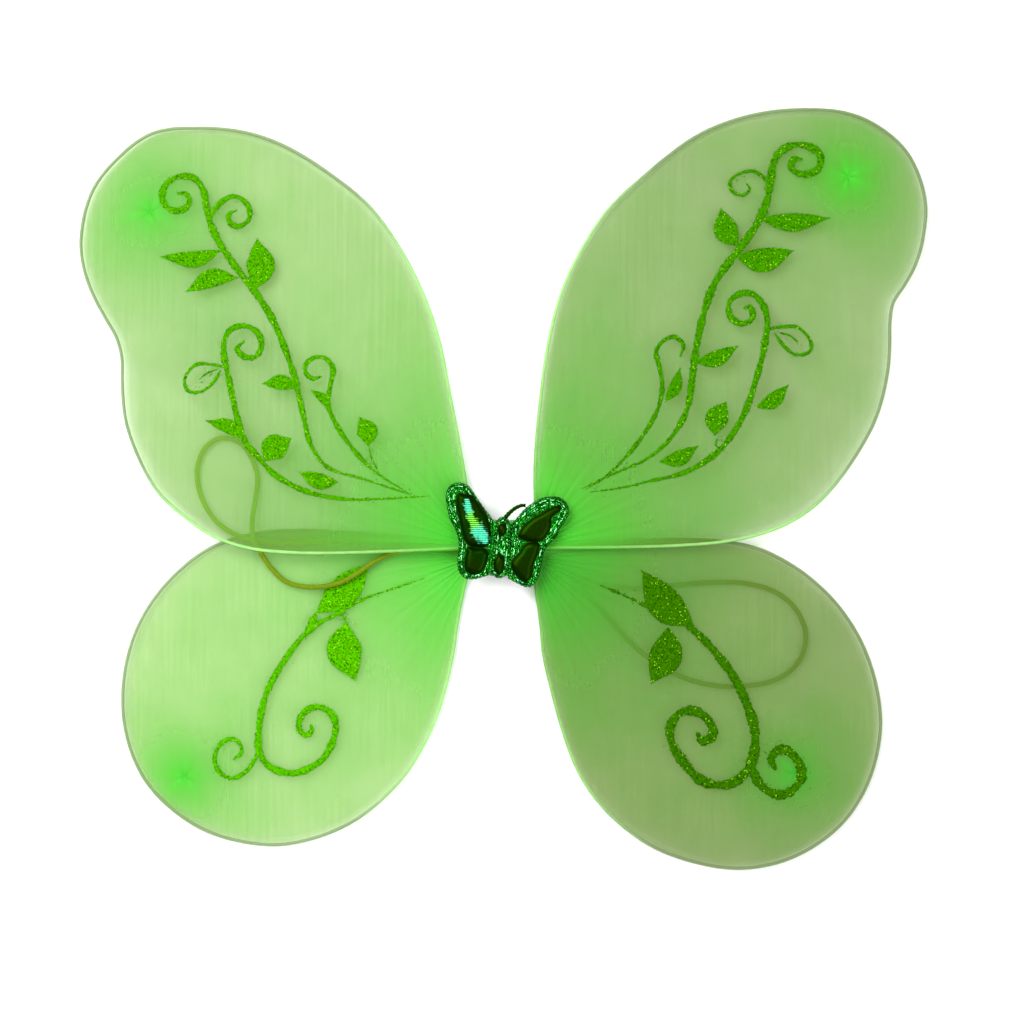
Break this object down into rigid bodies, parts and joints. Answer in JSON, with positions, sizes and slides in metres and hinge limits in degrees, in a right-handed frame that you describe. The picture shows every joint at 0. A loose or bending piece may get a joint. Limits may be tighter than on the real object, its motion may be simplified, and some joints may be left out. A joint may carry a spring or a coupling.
{
  "type": "fairy wings",
  "caption": "Child's costume fairy wings: sheer nylon over wire loops that fold about a small hub, with a padded foil butterfly and elastic shoulder loops.",
  "frame": {"origin": "centre of the felt back pad's rear face, where the hub lies against the wearer's back or on the ground", "axes": "+X to the right seen from the front, +Y up the wearer's back, +Z out of the front of the wings, through the butterfly"},
  "size_m": [0.4994, 0.45, 0.0201],
  "materials": {
    "nylon": "satin",
    "wire": "satin",
    "thread": "matte",
    "foil": "polished",
    "foil_padding": "polished",
    "felt": "matte",
    "tape": "matte",
    "glue": "satin",
    "elastic": "matte"
  },
  "bodies": {
    "hub": {"back_pad": "felt", "upper_wire_pair": "wire", "lower_wire_pair": "wire", "binding_coil": "wire", "tape_wrap": "tape", "glue_pad": "glue", "butterfly_body": "foil_padding", "butterfly_body_backing": "foil", "right_antenna": "foil", "right_elastic_loop": "elastic", "right_elastic_knot": "elastic"},
    "left_wing": {"upper_left_wire": "wire", "upper_left_sleeve": "nylon", "upper_left_root_tie": "thread", "upper_left_tip_knot": "thread", "left_elastic_loop": "elastic", "left_elastic_knot": "elastic"},
    "right_wing": {"upper_right_wire": "wire", "upper_right_sleeve": "nylon", "upper_right_root_tie": "thread", "upper_right_tip_knot": "thread"},
    "lower_left_wing": {"lower_left_wire": "wire", "lower_left_sleeve": "nylon", "lower_left_root_tie": "thread", "lower_left_tip_knot": "thread"},
    "lower_right_wing": {"lower_right_wire": "wire", "lower_right_sleeve": "nylon", "lower_right_root_tie": "thread", "lower_right_tip_knot": "thread"},
    "left_flap": {"butterfly_left_flap": "foil_padding", "butterfly_left_flap_backing": "foil"},
    "right_flap": {"butterfly_right_flap": "foil_padding", "butterfly_right_flap_backing": "foil"}
  },
  "joints": [
    {"name": "left_fold", "type": "hinge", "parent": "hub", "child": "left_wing", "pos_m": [-0.0133, 0, 0.0098], "axis": [0, 1, 0], "range_deg": [0, 60]},
    {"name": "right_fold", "type": "hinge", "parent": "hub", "child": "right_wing", "pos_m": [0.0133, 0, 0.0098], "axis": [0, -1, 0], "range_deg": [0, 60]},
    {"name": "lower_left_spread", "type": "hinge", "parent": "left_wing", "child": "lower_left_wing", "pos_m": [-0.0163, -0.0052, 0.0022], "axis": [0, 0.0153, 0.9999], "range_deg": [-3, 10]},
    {"name": "lower_right_spread", "type": "hinge", "parent": "right_wing", "child": "lower_right_wing", "pos_m": [0.0163, -0.0052, 0.0063], "axis": [0, 0.0115, -0.9999], "range_deg": [-3, 10]},
    {"name": "left_flap_fold", "type": "hinge", "parent": "hub", "child": "left_flap", "pos_m": [-0.00688, 0.00104, 0.0176], "axis": [0.0872, 0.9962, 0], "range_deg": [0, 60]},
    {"name": "right_flap_fold", "type": "hinge", "parent": "hub", "child": "right_flap", "pos_m": [0.00308, 0.00016, 0.0176], "axis": [-0.0872, -0.9962, 0], "range_deg": [0, 60]}
  ],
  "couplings": [
    {"joint": "left_flap_fold", "follows": "left_fold", "ratio": 1},
    {"joint": "right_flap_fold", "follows": "right_fold", "ratio": 1}
  ]
}
